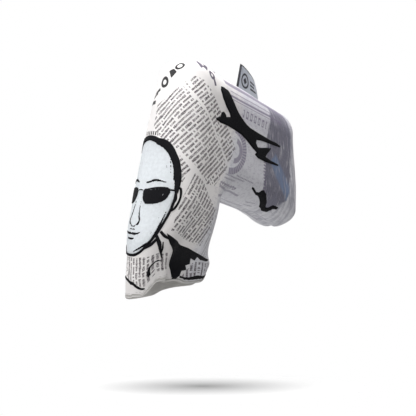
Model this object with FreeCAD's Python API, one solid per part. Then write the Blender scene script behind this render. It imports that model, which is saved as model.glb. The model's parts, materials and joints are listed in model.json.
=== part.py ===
"""Padded cover for a blade putter, modelled as it is worn in a golf bag.

The putter head sits at the top with its sole upward, and the shaft leaves through the neck's open
lower end. +Z is up, +X runs from heel to toe and the front panel faces -Y. The origin is the centre
of the cover's box at the level of the neck rim. Millimetres.
"""
import FreeCAD, Part

import math
import os

V = FreeCAD.Vector
ACROSS = V(0, 1, 0)

# ---- driving dimensions -------------------------------------------------------------------------
LENGTH = 129.0          # heel to the toe end, at the sole
HEIGHT = 157.0          # heel end of the neck rim to the sole seam
RIM_RISE = 21.0         # the rim slants up by this much across the neck
THICK = 46.0            # front panel to back panel
NECK_WIDTH = 60.0       # heel edge to the neck's toe-facing edge
POCKET_FLOOR = 80.0     # height of the toe pocket's lower edge above the rim
TOE_FLARE = 22.5        # how much further the toe end reaches at its lower corner
EDGE_ROUND = 16.0       # rounding between each panel and the cover's edge

SKIN = 0.8              # printed synthetic leather with its backing
FOAM = 4.2
LINING = 0.8
WALL = SKIN + FOAM + LINING

HEEL_CORNER = 17.0      # outline radii, each at least as large as EDGE_ROUND where convex
TOE_TOP_CORNER = 19.0
TOE_LOW_CORNER = 17.0
INNER_CORNER = 7.0

LIP_GAP = 0.5           # clearance at the folding line and between the two lips
LIP_HEEL_X = 15.0       # the folding line's lower end, near the rim
LIP_HEEL_Z = 7.5
LIP_TOP_Z = 67.5        # where it meets the neck's toe-facing edge

HEM_HEIGHT = 9.0
HEM_THICK = 0.5
PATCH_THICK = 0.5       # raised embroidery

MAGNET_R = 4.0
MAGNET_THICK = 1.6
MAGNET_HEIGHTS = (33.0, 42.5)
PLACKET_WIDTH = 14.0
PLACKET_THICK = 2.8

LABEL_WIDTH = 27.0
LABEL_HEIGHT = 20.0
LABEL_PLY = 0.7
LABEL_TOE_X = 97.0      # the label's toe-side edge
LABEL_FOOT = 1.0        # height of its hinge line above the sole
STITCH = 0.35           # how far a stitch stands off the cloth

HALF = THICK / 2
TOE_REACH = LENGTH + TOE_FLARE
FAR = 400.0             # reach of cutting blocks, beyond every edge of the cover
RIM_SLOPE = RIM_RISE / NECK_WIDTH


# ---- outlines in the X-Z plane -------------------------------------------------------------------
def rounded_face(points, radii, y):
    """A flat face in the plane at that y, its outline's corners rounded by arcs."""
    edges = []
    ends = []
    count = len(points)
    for i in range(count):
        corner = V(points[i][0], y, points[i][1])
        before = V(points[i - 1][0], y, points[i - 1][1]) - corner
        after = V(points[(i + 1) % count][0], y, points[(i + 1) % count][1]) - corner
        before.normalize()
        after.normalize()
        if radii[i] < 0.01:
            ends.append((corner, corner, None))
            continue
        half_turn = before.getAngle(after) / 2
        reach = radii[i] / math.tan(half_turn)
        middle = before + after
        middle.normalize()
        centre_off = radii[i] / math.sin(half_turn)
        ends.append((corner + before * reach, corner + after * reach,
                     corner + middle * (centre_off - radii[i])))
    for i in range(count):
        start, stop, through = ends[i]
        if through is not None:
            edges.append(Part.Arc(start, through, stop).toShape())
        edges.append(Part.LineSegment(stop, ends[(i + 1) % count][0]).toShape())
    return Part.Face(Part.Wire(edges))


def shifted_corner(points, shifts, i):
    """Corner i after its two sides have moved inward by their own shifts."""
    def side(k):
        p = points[k]
        q = points[(k + 1) % len(points)]
        dx = q[0] - p[0]
        dz = q[1] - p[1]
        run = math.hypot(dx, dz)
        inward = (dz / run, -dx / run)
        moved = (p[0] + inward[0] * shifts[k], p[1] + inward[1] * shifts[k])
        return moved, (dx / run, dz / run)

    p, u = side(i - 1)
    q, w = side(i)
    det = u[0] * w[1] - u[1] * w[0]
    t = ((q[0] - p[0]) * w[1] - (q[1] - p[1]) * w[0]) / det
    return (p[0] + u[0] * t, p[1] + u[1] * t)


def cover_outline(inset):
    """The cover's outline, clockwise from the heel end of the rim, moved inward by inset.

    The neck runs on below the rim, which is cut afterwards.
    """
    below = -60.0
    points = [(0, below), (0, HEIGHT), (LENGTH, HEIGHT), (TOE_REACH, POCKET_FLOOR),
              (NECK_WIDTH, POCKET_FLOOR), (NECK_WIDTH, below)]
    radii = [0, HEEL_CORNER, TOE_TOP_CORNER, TOE_LOW_CORNER, INNER_CORNER, 0]
    shifts = [inset] * 5 + [0]
    moved = [shifted_corner(points, shifts, i) for i in range(6)]
    new_radii = []
    for i in range(6):
        if radii[i] == 0:
            new_radii.append(0)
        elif i == 4:
            new_radii.append(radii[i] + inset)
        else:
            new_radii.append(radii[i] - inset)
    return moved, new_radii


def cover_solid(inset):
    """The cover's filled shape, moved inward by inset all round and open-ended below the rim."""
    points, radii = cover_outline(inset)
    face = rounded_face(points, radii, -HALF + inset)
    block = face.extrude(ACROSS * (THICK - 2 * inset))
    rims = []
    for edge in block.Edges:
        ys = [v.Y for v in edge.Vertexes]
        zs = [v.Z for v in edge.Vertexes]
        flat = abs(max(ys) - min(ys)) < 1e-6
        below_end = max(zs) < -59.0
        if flat and not below_end:
            rims.append(edge)
    rounded = block.makeFillet(EDGE_ROUND - inset, rims)
    return rounded.cut(below_rim(0))


def below_rim(height):
    """Everything under the slanted rim plane, or under a plane that much above it."""
    deep = -2 * FAR
    corners = [V(-FAR, -FAR, deep), V(FAR, -FAR, deep),
               V(FAR, -FAR, FAR * RIM_SLOPE + height), V(-FAR, -FAR, -FAR * RIM_SLOPE + height)]
    face = Part.Face(Part.makePolygon(corners + [corners[0]]))
    return face.extrude(ACROSS * 2 * FAR)


def box(x0, x1, y0, y1, z0, z1):
    return Part.makeBox(x1 - x0, y1 - y0, z1 - z0, V(x0, y0, z0))


# ---- the folding line of each lip ----------------------------------------------------------------
FOLD_ALONG = V(NECK_WIDTH - LIP_HEEL_X, 0, LIP_TOP_Z - LIP_HEEL_Z)
FOLD_ALONG.normalize()
FOLD_ACROSS = V(FOLD_ALONG.z, 0, -FOLD_ALONG.x)      # from the fold into the lip


def lip_side(clearance):
    """A block on the lip's side of the folding line, that far past it."""
    start = V(LIP_HEEL_X, 0, LIP_HEEL_Z) + FOLD_ACROSS * clearance
    corners = [
        start - FOLD_ALONG * FAR,
        start + FOLD_ALONG * FAR,
        start + FOLD_ALONG * FAR + FOLD_ACROSS * FAR,
        start - FOLD_ALONG * FAR + FOLD_ACROSS * FAR,
    ]
    corners = [c - ACROSS * FAR for c in corners]
    face = Part.Face(Part.makePolygon(corners + [corners[0]]))
    neck_only = box(-FAR, NECK_WIDTH + EDGE_ROUND, -FAR, FAR, -FAR, POCKET_FLOOR - INNER_CORNER)
    return face.extrude(ACROSS * 2 * FAR).common(neck_only)


LIP_BLOCK = lip_side(LIP_GAP)
MAIN_CUT = lip_side(0)
FRONT_BLOCK = box(-FAR, FAR, -FAR, -LIP_GAP / 2, -FAR, FAR)
BACK_BLOCK = box(-FAR, FAR, LIP_GAP / 2, FAR, -FAR, FAR)
FRONT_HALF = box(-FAR, FAR, -FAR, 0, -FAR, FAR)
BACK_HALF = box(-FAR, FAR, 0, FAR, -FAR, FAR)


def layer(outer, inner):
    """The wall between two insets of the cover."""
    return cover_solid(outer).cut(cover_solid(inner))


def main_part(shape):
    return shape.cut(MAIN_CUT)


def front_lip(shape):
    return shape.common(LIP_BLOCK).common(FRONT_BLOCK)


def back_lip(shape):
    return shape.common(LIP_BLOCK).common(BACK_BLOCK)


# ---- pieces --------------------------------------------------------------------------------------
nodes = {}


def add(name, *shapes):
    """Keeps the solids of these shapes as one named piece."""
    solids = []
    for shape in shapes:
        solids += shape.Solids
    nodes[name] = solids[0] if len(solids) == 1 else Part.makeCompound(solids)


def shell_and_padding():
    shell = layer(0, SKIN)
    foam = layer(SKIN, SKIN + FOAM)
    lining = layer(SKIN + FOAM, WALL)
    add("outer_shell", main_part(shell))
    add("front_foam", main_part(foam).common(FRONT_HALF))
    add("back_foam", main_part(foam).common(BACK_HALF))
    add("front_lining", main_part(lining).common(FRONT_HALF))
    add("back_lining", main_part(lining).common(BACK_HALF))
    for name, lip in (("front_lip", front_lip), ("back_lip", back_lip)):
        add(name + "_shell", lip(shell))
        add(name + "_foam", lip(foam))
        add(name + "_lining", lip(lining))


def seam_tape():
    """Binding over the sewn edges inside, along sole, toe end and pocket floor."""
    width = 9.0
    thick = 0.8
    band = layer(WALL, WALL + thick).common(box(-FAR, FAR, -width / 2, width / 2, -FAR, FAR))
    heel_part = box(-FAR, HEEL_CORNER, -FAR, FAR, -FAR, HEIGHT)
    neck_part = box(-FAR, NECK_WIDTH + INNER_CORNER, -FAR, FAR, -FAR, POCKET_FLOOR + WALL + 2 * thick)
    add("seam_tape", band.cut(heel_part).cut(neck_part))


def hems():
    """The turned-in edge of the rim, inside the lining, in its three stretches."""
    neck_only = box(-FAR, NECK_WIDTH, -FAR, FAR, -FAR, POCKET_FLOOR - INNER_CORNER)
    band = layer(WALL, WALL + HEM_THICK).common(below_rim(HEM_HEIGHT)).common(neck_only)
    add("heel_hem", main_part(band))
    add("front_lip_hem", front_lip(band))
    add("back_lip_hem", back_lip(band))


def hem_stitching():
    """Rows of short stitches round the outside of the rim, one solid per stitch."""
    pitch = 4.0
    length = 2.6
    height = 2.0
    first_x = LIP_HEEL_X + pitch
    last_x = NECK_WIDTH - EDGE_ROUND
    for side, name in ((-1, "front"), (1, "back")):
        near = side * HALF
        far = side * (HALF + STITCH)
        stitches = []
        x = first_x
        while x + length < last_x:
            z = height + x * RIM_SLOPE
            stitches.append(box(x, x + length, min(near, far), max(near, far), z, z + 2 * STITCH))
            x += pitch
        add(name + "_hem_stitching", *stitches)


def placket_zone(side):
    """A flange that stands inward from a lip along the slit."""
    top = MAGNET_HEIGHTS[-1] + MAGNET_R + 3
    near = side * LIP_GAP
    far = side * (LIP_GAP + PLACKET_THICK)
    inner_x = NECK_WIDTH - WALL
    foot = inner_x * RIM_SLOPE + HEM_HEIGHT + 0.5
    return box(inner_x - PLACKET_WIDTH, inner_x, min(near, far), max(near, far), foot, top)


def plackets_and_magnets():
    for side, name in ((-1, "front"), (1, "back")):
        lip = front_lip if side < 0 else back_lip
        zone = placket_zone(side)
        y = side * (LIP_GAP + PLACKET_THICK / 2)
        discs = []
        pockets = []
        for z in MAGNET_HEIGHTS:
            at = V(NECK_WIDTH - WALL - PLACKET_WIDTH / 2, y - MAGNET_THICK / 2, z)
            discs.append(Part.makeCylinder(MAGNET_R, MAGNET_THICK, at, ACROSS))
            pocket_at = at - ACROSS * 0.05
            pockets.append(Part.makeCylinder(MAGNET_R + 0.1, MAGNET_THICK + 0.1, pocket_at, ACROSS))
        facing = lip(zone)
        for pocket in pockets:
            facing = facing.cut(pocket)
        add(name + "_placket", facing)
        add(name + "_magnets", *discs)


def bar_tack():
    """Dense stitches across the slit's upper end."""
    at_z = LIP_TOP_Z + 2
    add("slit_bar_tack", box(NECK_WIDTH, NECK_WIDTH + 2 * STITCH, -4, 4, at_z, at_z + 2.2))


def label():
    """A woven tab folded over itself, standing out of the sole seam."""
    left = LABEL_TOE_X - LABEL_WIDTH
    foot = HEIGHT + LABEL_FOOT
    top = foot + LABEL_HEIGHT
    light = box(left, LABEL_TOE_X, -LABEL_PLY, -0.02, foot, top - LABEL_PLY)
    dark = box(left, LABEL_TOE_X, 0.02, LABEL_PLY, foot, top - LABEL_PLY)
    fold = box(left, LABEL_TOE_X, -LABEL_PLY, LABEL_PLY, top - LABEL_PLY, top)
    add("label_front_ply", light)
    add("label_back_ply", dark.fuse(fold).removeSplitter())
    stitches = []
    pitch = 3.0
    x = left + 1.5
    while x + 1.8 < LABEL_TOE_X:
        stitches.append(box(x, x + 1.8, -LABEL_PLY - STITCH, -LABEL_PLY, foot + 2.0, foot + 2.5))
        x += pitch
    add("label_stitching", *stitches)


# ---- raised embroidery ---------------------------------------------------------------------------
def prism_of(points):
    """A block that reaches the front panel from outside, with that X-Z outline."""
    face = rounded_face(points, [0] * len(points), -HALF - 6)
    return face.extrude(ACROSS * (HALF + 6))


def heel_prism(points):
    """A block that reaches the heel's rounded edge from outside, with that Y-Z outline."""
    corners = [V(-6, y, z) for y, z in points]
    face = Part.Face(Part.makePolygon(corners + [corners[0]]))
    return face.extrude(V(6 + HEAD_REACH, 0, 0))


def patch_layer():
    """A thin layer that stands proud of the cover's outside."""
    return cover_solid(-PATCH_THICK).cut(cover_solid(0))


def oval(y, z, ry, rz, count=24):
    return [(y + ry * math.sin(2 * math.pi * i / count), z + rz * math.cos(2 * math.pi * i / count))
            for i in range(count)]


HEAD_REACH = 9.0        # how far from the heel the embroidered head reaches round the edge
HEAD_Y = 4.0            # centre of the head, seen from the heel
HEAD_Z = 65.0
HEAD_RY = 21.0
HEAD_RZ = 39.0
LENS_Y = 9.0            # centre of each lens from the middle of the face
LENS_RY = 7.0
LENS_RZ = 5.6
AIRCRAFT = [(25, 141), (27, 144), (34, 143), (46, 134), (57, 129), (72, 127), (101, 127), (100, 125.6),
            (72, 122), (74, 118), (90, 122), (86, 115), (102, 114), (102, 112.8), (77, 111), (72, 113),
            (60, 118.5), (46, 121), (26, 121), (30, 124), (30, 128), (34, 127.5), (38, 129)]
JUMPER = [(79, 92.5), (82, 92.5), (89, 91.5), (93, 93), (98, 92), (105, 88.5), (110, 86),
          (113, 88.5), (119, 89), (119, 88), (115, 84), (110, 83.5), (104, 85), (96, 88.5),
          (88, 90), (80, 92)]
JACKET = [(33, 33), (42, 39), (51, 38), (56, 30), (48, 28), (42, 30), (38, 22), (34, 18)]


def embroidery():
    outer = heel_prism(oval(HEAD_Y, HEAD_Z, HEAD_RY, HEAD_RZ))
    inner = heel_prism(oval(HEAD_Y, HEAD_Z, HEAD_RY - 2.6, HEAD_RZ - 2.6))
    face_block = heel_prism(oval(HEAD_Y, HEAD_Z, HEAD_RY - 3, HEAD_RZ - 3))
    lenses = []
    for turn in (-1, 1):
        middle = HEAD_Y + turn * LENS_Y
        face_block = face_block.cut(heel_prism(oval(middle, HEAD_Z, LENS_RY + 0.3, LENS_RZ + 0.3)))
        lenses.append(PATCH_LAYER.common(heel_prism(oval(middle, HEAD_Z, LENS_RY, LENS_RZ))))
    add("embroidered_face", PATCH_LAYER.common(face_block))
    add("embroidered_hair", PATCH_LAYER.common(outer.cut(inner)))
    add("embroidered_glasses", *lenses)
    add("embroidered_jacket", front_lip(PATCH_LAYER.common(prism_of(JACKET))))
    add("embroidered_aircraft", PATCH_LAYER.common(prism_of(AIRCRAFT)))
    add("embroidered_figure", PATCH_LAYER.common(prism_of(JUMPER)))


# ---- build ---------------------------------------------------------------------------------------
PATCH_LAYER = patch_layer()
shell_and_padding()
seam_tape()
hems()
hem_stitching()
plackets_and_magnets()
bar_tack()
label()
embroidery()

whole = Part.makeCompound(list(nodes.values())).BoundBox
to_origin = V(-(whole.XMin + whole.XMax) / 2, 0, 0)
os.makedirs("parts", exist_ok=True)
for name, shape in nodes.items():
    placed = shape.copy()
    placed.translate(to_origin)
    placed.exportStep("parts/" + name + ".step")
    state = "ok" if placed.isValid() and placed.Solids else "BAD"
    bounds = placed.BoundBox
    print(f"{name:24s} {state} solids {len(placed.Solids):3d} volume {placed.Volume:10.1f} "
          f"box {bounds.XLength:6.1f} {bounds.YLength:6.1f} {bounds.ZLength:6.1f}")
print("moved by", to_origin)
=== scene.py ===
import json
import math

import bpy
import numpy as np
from mathutils import Matrix, Vector, noise
from mathutils.bvhtree import BVHTree
from mathutils.geometry import delaunay_2d_cdt

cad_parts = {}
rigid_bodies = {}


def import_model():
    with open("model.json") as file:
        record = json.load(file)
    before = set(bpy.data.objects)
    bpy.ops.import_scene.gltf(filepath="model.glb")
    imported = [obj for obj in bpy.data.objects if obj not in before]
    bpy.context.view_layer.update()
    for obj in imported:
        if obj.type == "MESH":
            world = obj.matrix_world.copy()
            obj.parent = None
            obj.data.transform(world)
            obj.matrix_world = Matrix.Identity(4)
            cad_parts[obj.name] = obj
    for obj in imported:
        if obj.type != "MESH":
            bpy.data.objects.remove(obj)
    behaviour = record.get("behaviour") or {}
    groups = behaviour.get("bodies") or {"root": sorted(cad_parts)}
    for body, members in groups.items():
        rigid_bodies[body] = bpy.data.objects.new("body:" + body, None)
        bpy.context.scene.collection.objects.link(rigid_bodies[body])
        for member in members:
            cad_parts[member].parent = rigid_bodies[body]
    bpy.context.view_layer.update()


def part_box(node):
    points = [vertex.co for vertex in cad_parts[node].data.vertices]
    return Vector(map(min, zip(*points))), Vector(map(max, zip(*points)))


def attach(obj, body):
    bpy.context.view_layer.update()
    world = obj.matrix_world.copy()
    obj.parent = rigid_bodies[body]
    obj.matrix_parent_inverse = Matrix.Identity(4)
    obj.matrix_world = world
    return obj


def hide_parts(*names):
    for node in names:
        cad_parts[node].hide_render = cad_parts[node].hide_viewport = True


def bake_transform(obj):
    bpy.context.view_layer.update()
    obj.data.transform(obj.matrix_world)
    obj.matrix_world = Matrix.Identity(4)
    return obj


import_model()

# ---- sizes in millimetres, heel at x = 0, neck rim at z = 0, front panel towards -Y -------------
MM = 0.001
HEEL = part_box("outer_shell")[0].x           # metres, from the frame
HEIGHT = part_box("outer_shell")[1].z / MM
LENGTH = 128.5
NECK = 59.5
REACH = 151.5                                # toe end at its lower corner
POCKET = 80.5
HALF = 23.0
ROUND = 20.2                                 # how far in from its edge a panel keeps curving
RING_IN = 15.0
RADII = (10.8, 17.8, 11.7, 7.0)              # heel, toe's upper and lower corner, inner corner
COUNTS = (110, 14, 84, 18, 44, 16, 62, 18, 58)
SKIN, FOAM, LINING = 0.8, 4.2, 0.8
WALL = SKIN + FOAM + LINING
SLIT_TOP = 67.5
SPLIT = 74.5                                 # the neck's pieces end here
STEP = 1.3
FRONT, BACK = -1, 1


def smooth(low, high, value):
    t = np.clip((value - low) / (high - low), 0, 1)
    return t * t * (3 - 2 * t)


# ---- the flat pattern ---------------------------------------------------------------------------
def outline(inset):
    """The cover's edge moved inward, clockwise from the heel end of the rim, corner by corner."""
    corners = [(0, -60), (0, HEIGHT), (LENGTH, HEIGHT), (REACH, POCKET - 1.6), (NECK, POCKET),
               (NECK, -60)]
    corners = [np.array(c, float) for c in corners]
    sides = []
    for a, b in zip(corners, corners[1:]):
        along = (b - a) / np.linalg.norm(b - a)
        sides.append((a + inset * np.array([along[1], -along[0]]), along))
    points = []
    start = np.array([inset, 0.0])
    for i in range(4):
        (a, u), (b, w) = sides[i], sides[i + 1]
        reach = ((b[0] - a[0]) * w[1] - (b[1] - a[1]) * w[0]) / (u[0] * w[1] - u[1] * w[0])
        corner = a + u * reach
        radius = RADII[i] + inset if i == 3 else max(RADII[i] - inset, 2.0)
        half = math.acos(-(u @ w)) / 2
        first = corner - u * radius / math.tan(half)
        last = corner + w * radius / math.tan(half)
        middle = (w - u) / np.linalg.norm(w - u)
        centre = corner + middle * radius / math.sin(half)
        angle = math.atan2(first[1] - centre[1], first[0] - centre[0])
        turn = math.atan2(last[1] - centre[1], last[0] - centre[0]) - angle
        turn = (turn + math.pi) % (2 * math.pi) - math.pi
        for k in range(COUNTS[2 * i]):
            points.append(start + (first - start) * k / COUNTS[2 * i])
        for k in range(COUNTS[2 * i + 1]):
            at = angle + turn * k / COUNTS[2 * i + 1]
            points.append(centre + radius * np.array([math.cos(at), math.sin(at)]))
        start = last
    end = np.array([NECK - inset, 0.0])
    for k in range(COUNTS[8] + 1):
        points.append(start + (end - start) * k / COUNTS[8])
    return np.array(points)


def profile(depth):
    """Share of the half thickness reached at that distance from the edge."""
    return np.sqrt(np.clip(1 - (1 - np.minimum(depth, ROUND) / ROUND) ** 2, 0, 1))


def inside(points, loop):
    hit = np.zeros(len(points), bool)
    for a, b in zip(loop, np.roll(loop, -1, axis=0)):
        crosses = (a[1] > points[:, 1]) != (b[1] > points[:, 1])
        at = (b[0] - a[0]) * (points[:, 1] - a[1]) / (b[1] - a[1] + 1e-12) + a[0]
        hit ^= crosses & (points[:, 0] < at)
    return hit


def nearest(points, others):
    """Distance from each point to the closest of the others."""
    found = np.full(len(points), 1e9)
    for other in others:
        found = np.minimum(found, np.hypot(*(points - other).T))
    return found


def triangulate(points, loop, edges=()):
    """Triangles between the points inside a closed run of them, turned anticlockwise."""
    found = delaunay_2d_cdt([Vector(p) for p in points], list(edges), [loop], 1, 1e-7)
    index = [origin[0] for origin in found[3]]
    triangles = []
    for face in found[2]:
        a, b, c = (found[0][v] for v in face)
        ids = [index[v] for v in face]
        triangles.append(ids if (b - a).cross(c - a) > 0 else ids[::-1])
    return triangles


def grid_inside(border, step, clear):
    """A staggered grid of points inside a border, none closer to it than clear."""
    low, high = border.min(0), border.max(0)
    gap = step * math.sqrt(3) / 2
    rows = []
    for k in range(int((high[1] - low[1]) / gap)):
        xs = np.arange(low[0] + (k % 2) * step / 2, high[0], step)
        rows.append(np.stack([xs, np.full(len(xs), low[1] + gap * (k + 0.6))], 1))
    if not rows:
        return np.zeros((0, 2))
    grid = np.concatenate(rows)
    grid = grid[inside(grid, border)]
    return grid[nearest(grid, border) > clear]


class Pattern:
    """One panel cut flat: rings along its edge and a triangle mesh inside them."""

    def __init__(self):
        rings = 21
        depth = RING_IN * (1 - np.cos(np.linspace(0, math.pi / 2, rings)))
        fine = np.linspace(0, RING_IN, 3001)
        run = np.r_[0, np.cumsum(np.hypot(np.diff(fine), np.diff(HALF * profile(fine))))]
        arc = np.interp(depth, fine, run)
        lines = np.array([outline(d) for d in depth])
        edge, innermost = lines[0], lines[-1]
        n = len(edge)
        unrolled = (run[-1] - arc) / np.maximum(RING_IN - depth, 1e-9)
        cloth = innermost[None] + (lines - innermost[None]) * unrolled[:, None, None]
        steps = int((innermost[-1][0] - innermost[0][0]) / STEP)
        rim = [innermost[-1] + (innermost[0] - innermost[-1]) * k / steps for k in range(1, steps)]
        border = np.concatenate([innermost, rim])
        grid = grid_inside(border, STEP, 0.62 * STEP)
        added = np.concatenate([rim, grid])
        self.flat = np.concatenate([lines.reshape(-1, 2), added])
        self.cloth = np.concatenate([cloth.reshape(-1, 2), added])
        near = nearest(added, edge)
        self.depth = np.r_[np.repeat(depth, n), near]
        self.arc = np.r_[np.repeat(arc, n), near + run[-1] - RING_IN]
        self.station = np.r_[np.tile(np.arange(n), rings), np.full(len(added), -1)]
        self.marks = np.r_[0, np.cumsum(np.hypot(*np.diff(edge, axis=0).T))]
        self.edge = edge
        self.n = n
        self.heel_fold = RING_IN - run[-1]
        first = (rings - 1) * n
        self.faces = []
        for k in range(rings - 1):
            for i in range(n - 1):
                a = k * n + i
                self.faces.append((a, a + n, a + n + 1, a + 1))
        loop = list(range(len(border)))[::-1]
        for face in triangulate(np.concatenate([border, grid]), loop):
            self.faces.append(tuple(first + v for v in face))
        middle = [first + n + k for k in range(len(rim))][::-1]
        ends = [k * n for k in range(rings)]
        self.rim = ends + middle + [v + n - 1 for v in ends[::-1]]


PATTERN = Pattern()
HEEL_FOLD = PATTERN.heel_fold                # pattern coordinate of the heel's edge


# ---- the soft shape -----------------------------------------------------------------------------
def stuffing(x, z):
    """How far the filling and wear have pushed the plain cut outline out of its lines."""
    heel = 1 - smooth(0, 30, x)
    toe = smooth(98, 134, x) * smooth(104, 152, z)
    dx = -7.5 * toe
    dx = dx + heel * (2.2 * smooth(122, 152, z) + 1.2 * np.exp(-((z - 92) / 22.0) ** 2)
                      - 3.0 * np.exp(-((z - 36) / 17.0) ** 2) + 3.4 * (1 - smooth(-2, 13, z)))
    dx = dx - 1.6 * np.exp(-((z - 68) / 14.0) ** 2) * smooth(35, 55, x) * (1 - smooth(60, 75, x))
    dz = 1.8 * smooth(135, 155, z) * (1 - smooth(8, 40, x))
    under = 1 - smooth(POCKET + 4, POCKET + 22, z)
    dz = dz + under * smooth(66, 80, x) * (1.3 * np.exp(-((x - 108) / 16.0) ** 2)
                                           - 1.6 * smooth(122, 138, x))
    return dx, dz


def settle(x, y, z, side):
    """Moves points of the stuffed cover to where its empty neck has gone slack and folded."""
    neck = 1 - smooth(NECK + 2, NECK + 20, x)
    pinch = (1 - smooth(7, SLIT_TOP, z)) * neck
    lobe = 1 - smooth(11, 25, x)
    share = 0.27 + 0.38 * lobe - 0.06 * np.exp(-((x - 25) / 4.0) ** 2)
    low = 1 - smooth(4, 37, z)
    lift = 22.0 * (x / NECK) * np.clip(1 - z / 72, 0, 1) * neck
    if side == FRONT:
        mouth = 9.0 * (smooth(1, 8, x) - smooth(16, 26, x))
        lift = lift + low * neck * (mouth + 5.4 * np.exp(-((x - 27) / 7.0) ** 2)
                                    + 2.7 * smooth(27, 34, x))
    else:
        lift = lift - 5.0 * (1 - smooth(2, 22, z)) * neck * np.exp(-((x - 17) / 13.0) ** 2)
    lift = lift + low * neck * 3.5 * smooth(NECK - 9, NECK, x) ** 2
    flare = (8.0 * (1 - smooth(7, 52, z)) * neck + 2.7 * pinch) * smooth(15, NECK, x)
    flare = flare + 3.2 * np.exp(-((z - 14) / 10.0) ** 2) * neck * smooth(40, NECK, x)
    dx, dz = stuffing(x, z)
    return x + flare + dx, y * (1 - pinch * (1 - share)), z + lift + dz


def wave(points, size, seed):
    shift = Vector((seed * 17.3, seed * 5.1, seed * 9.7))
    return np.array([noise.noise(Vector(p) / size + shift) for p in points])


class Shape:
    """Both panels in place: points, normals and how much of the full wall each point has."""

    def __init__(self):
        p = PATTERN
        count = len(p.flat)
        edge = p.depth < 1e-6
        at = p.station[edge]
        z_edge = p.edge[at][:, 1]
        x_edge = p.edge[at][:, 0]
        slit = (x_edge > NECK - 1) & (x_edge < NECK + 1) & (z_edge < SLIT_TOP)
        self.slit_station = np.zeros(p.n, bool)
        self.slit_station[at[slit]] = True
        heel = self.heel_share()
        index = np.arange(count)
        points = []
        for side in (FRONT, BACK):
            y = side * HALF * profile(p.depth)
            gap = 0.35 * np.where(p.station >= 0, self.slit_station[p.station], False)
            y = y + side * gap * np.exp(-p.depth / 2)
            points.append(np.stack(settle(p.flat[:, 0], y, p.flat[:, 1], side), 1))
        both = np.concatenate(points)
        joined = np.concatenate([index, index + count])
        shared = np.where(edge)[0][~slit]
        joined[count + shared] = shared
        self.joined = joined
        self.both = both
        back = [tuple(count + v for v in f[::-1]) for f in p.faces]
        self.all_faces = p.faces + back
        normal = self.normals()
        groove = 1.3 * np.exp(-(p.arc / 2.2) ** 2) * (1 - heel)
        pucker = 0.5 * np.exp(-(p.arc / 6.0) ** 2) * (1 - np.exp(-(p.arc / 1.5) ** 2)) * (1 - heel)
        pucker = pucker * np.where(p.station >= 0, wave(
            [(p.marks[s], 0, 0) for s in p.station], 4.5, 3), 0)
        push = 1.0 * wave(both, 42, 1) + 0.35 * wave(both, 15, 2)
        keep = np.concatenate([1 - np.exp(-(p.arc / 6) ** 2) * (1 - heel)] * 2)
        push = push * keep + np.concatenate([pucker - groove] * 2)
        self.both = both + normal * push[:, None]
        self.both[count + shared] = self.both[shared]
        self.normal = self.normals()
        self.count = count
        self.wall = self.walls()

    def heel_share(self):
        """1 where the nearest edge is the heel's, which is a fold and has no seam."""
        p = PATTERN
        along = np.where(p.station >= 0, p.marks[p.station], 1e9)
        top = HEIGHT - 4
        return 1 - smooth(top - 4, top + 8, along)

    def normals(self):
        total = np.zeros_like(self.both)
        for size in (3, 4):
            f = np.array([face for face in self.all_faces if len(face) == size])
            a, b, c = (self.both[f[:, i]] for i in (0, 1, 2))
            d = self.both[f[:, 3]] if size == 4 else a
            n = np.cross(c - a, d - b) if size == 4 else np.cross(b - a, c - a)
            for i in range(size):
                np.add.at(total, self.joined[f[:, i]], n)
        total = total[self.joined]
        return total / np.linalg.norm(total, axis=1)[:, None]

    def walls(self):
        y = np.abs(self.both[:, 1])
        share = np.clip(0.93 * y / (WALL * np.abs(self.normal[:, 1]) + 1e-3), 0.3, 1)
        n = PATTERN.n
        for first in (0, self.count):
            share[first:first + n] = share[first + n:first + 2 * n]
        low = np.concatenate([PATTERN.flat[:, 1]] * 2)
        in_neck = np.concatenate([PATTERN.flat[:, 0]] * 2) < NECK + 8
        taper = np.where(in_neck, 0.42 + 0.58 * smooth(0, 18, low), 1)
        return share * taper

    def at_depth(self, t):
        """Every point moved into the wall by t, a share of WALL given in millimetres."""
        moved = self.both - self.normal * (self.wall * t)[:, None]
        side = np.r_[np.full(self.count, FRONT), np.full(self.count, BACK)]
        depth = np.concatenate([PATTERN.depth] * 2)
        least = np.where(depth > 1e-6, 0.1, 0) * (t / WALL)
        moved[:, 1] = side * np.maximum(moved[:, 1] * side, least)
        return moved


SHAPE = Shape()


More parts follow.
